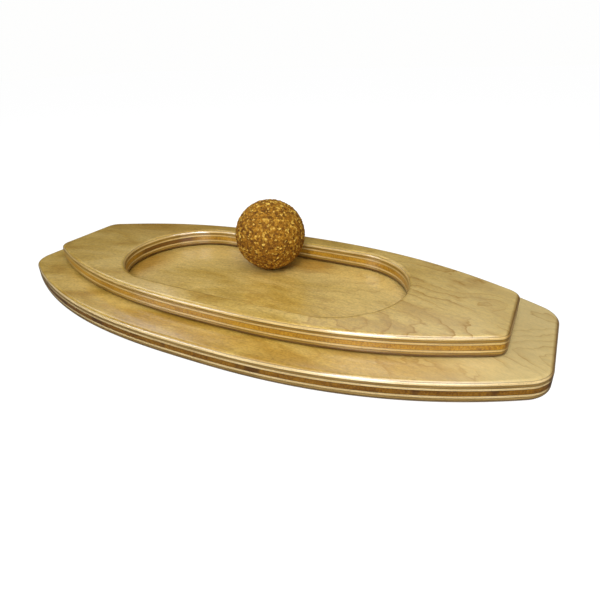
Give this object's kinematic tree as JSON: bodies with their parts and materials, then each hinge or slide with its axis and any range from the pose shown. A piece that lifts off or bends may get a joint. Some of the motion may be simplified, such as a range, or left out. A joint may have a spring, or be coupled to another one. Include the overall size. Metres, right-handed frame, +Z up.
{
  "type": "balance board with ball",
  "caption": "Balance board upside down: long boat-shaped plywood deck, smaller plywood frame glued on it with an oval opening, and a loose cork ball that rolls inside the opening",
  "frame": {"origin": "middle of the deck's tread face, which lies on the ground as stored, at z = 0", "axes": "+X along the board, +Y across it towards the side wall that the ball stands nearer to, +Z up through the frame and the ball"},
  "size_m": [0.7, 0.316, 0.1178],
  "materials": {
    "birch_face": "clear gloss lacquer over figured birch veneer",
    "birch_light": "clear gloss lacquer over pale ply edge",
    "birch_tan": "clear gloss lacquer over tan ply edge",
    "birch_core": "clear gloss lacquer over brown core ply edge",
    "cork": "bare pressed cork granules, matte"
  },
  "bodies": {
    "board": {"deck_ply_1": "birch_face", "deck_ply_2": "birch_light", "deck_ply_3": "birch_tan", "deck_ply_4": "birch_light", "deck_ply_5": "birch_core", "deck_ply_6": "birch_light", "deck_ply_7": "birch_tan", "deck_ply_8": "birch_light", "deck_ply_9": "birch_face", "frame_ply_1": "birch_face", "frame_ply_2": "birch_light", "frame_ply_3": "birch_tan", "frame_ply_4": "birch_light", "frame_ply_5": "birch_core", "frame_ply_6": "birch_light", "frame_ply_7": "birch_tan", "frame_ply_8": "birch_light", "frame_ply_9": "birch_face"},
    "ball": {"cork_ball": "cork"}
  },
  "joints": [
    {"name": "ball_roll", "type": "slide", "parent": "board", "child": "ball", "axis": [1, 0, 0], "range_m": [-0.104, 0.122]}
  ]
}
